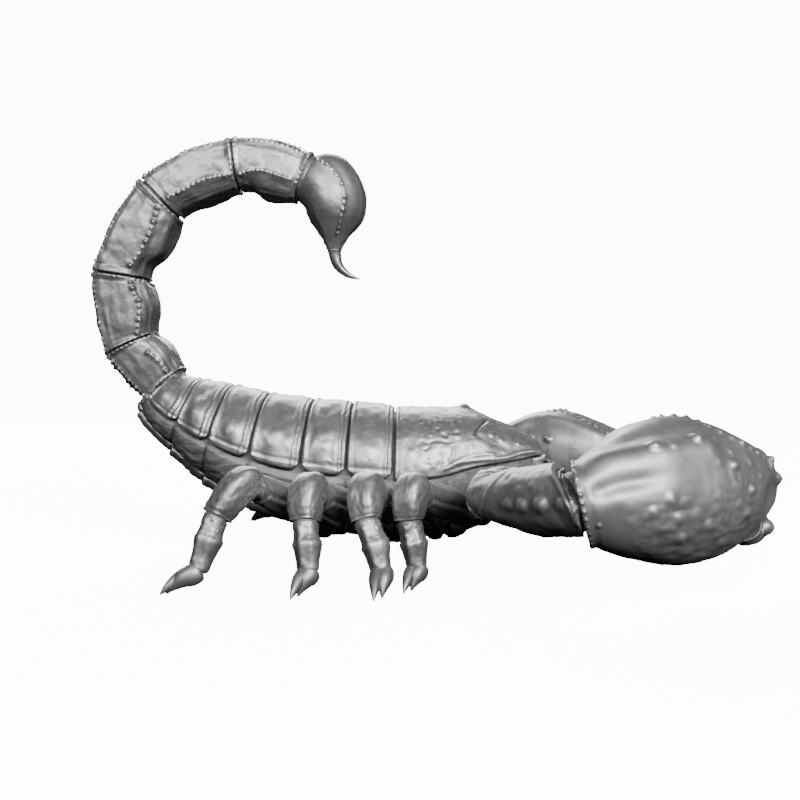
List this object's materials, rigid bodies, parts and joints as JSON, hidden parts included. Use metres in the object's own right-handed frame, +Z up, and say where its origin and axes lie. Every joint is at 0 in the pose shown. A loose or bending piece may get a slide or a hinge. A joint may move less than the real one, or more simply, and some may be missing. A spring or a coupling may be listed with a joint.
{
  "type": "desert scorpion, life-size still model",
  "caption": "Life-size model of a dark fat-tailed desert scorpion, tail arched over its back and broad claws held forward.",
  "frame": {"origin": "on the floor, below the middle of the animal's bounding box", "axes": "+X points forward, from tail to claws; +Y is the animal's left; +Z is up"},
  "size_m": [0.0848, 0.0848, 0.0575],
  "materials": {
    "plate": "satin shell, charcoal grey",
    "limb": "satin shell, grey with a faint olive warmth",
    "membrane": "soft folded skin, pale grey",
    "eye": "glossy black",
    "sting": "smooth, near-black brown"
  },
  "bodies": {
    "root": {"carapace": "plate", "chelicera_left": "limb", "chelicera_right": "limb", "eye_left": "eye", "eye_right": "eye", "leg_bases": "membrane", "leg_left_1_femur": "limb", "leg_left_1_foot": "limb", "leg_left_1_patella": "limb", "leg_left_2_femur": "limb", "leg_left_2_foot": "limb", "leg_left_2_patella": "limb", "leg_left_3_femur": "limb", "leg_left_3_foot": "limb", "leg_left_3_patella": "limb", "leg_left_4_femur": "limb", "leg_left_4_foot": "limb", "leg_left_4_patella": "limb", "leg_right_1_femur": "limb", "leg_right_1_foot": "limb", "leg_right_1_patella": "limb", "leg_right_2_femur": "limb", "leg_right_2_foot": "limb", "leg_right_2_patella": "limb", "leg_right_3_femur": "limb", "leg_right_3_foot": "limb", "leg_right_3_patella": "limb", "leg_right_4_femur": "limb", "leg_right_4_foot": "limb", "leg_right_4_patella": "limb", "palp_left_femur": "limb", "palp_left_finger": "limb", "palp_left_hand": "limb", "palp_left_patella": "limb", "palp_left_trochanter": "limb", "palp_right_femur": "limb", "palp_right_finger": "limb", "palp_right_hand": "limb", "palp_right_patella": "limb", "palp_right_trochanter": "limb", "pectine_left": "limb", "pectine_right": "limb", "sternites": "plate", "sting": "sting", "tail_1": "plate", "tail_2": "plate", "tail_3": "plate", "tail_4": "plate", "tail_5": "plate", "telson": "plate", "tergite_1": "plate", "tergite_2": "plate", "tergite_3": "plate", "tergite_4": "plate", "tergite_5": "plate", "tergite_6": "plate", "trunk": "membrane"}
  },
  "joints": []
}
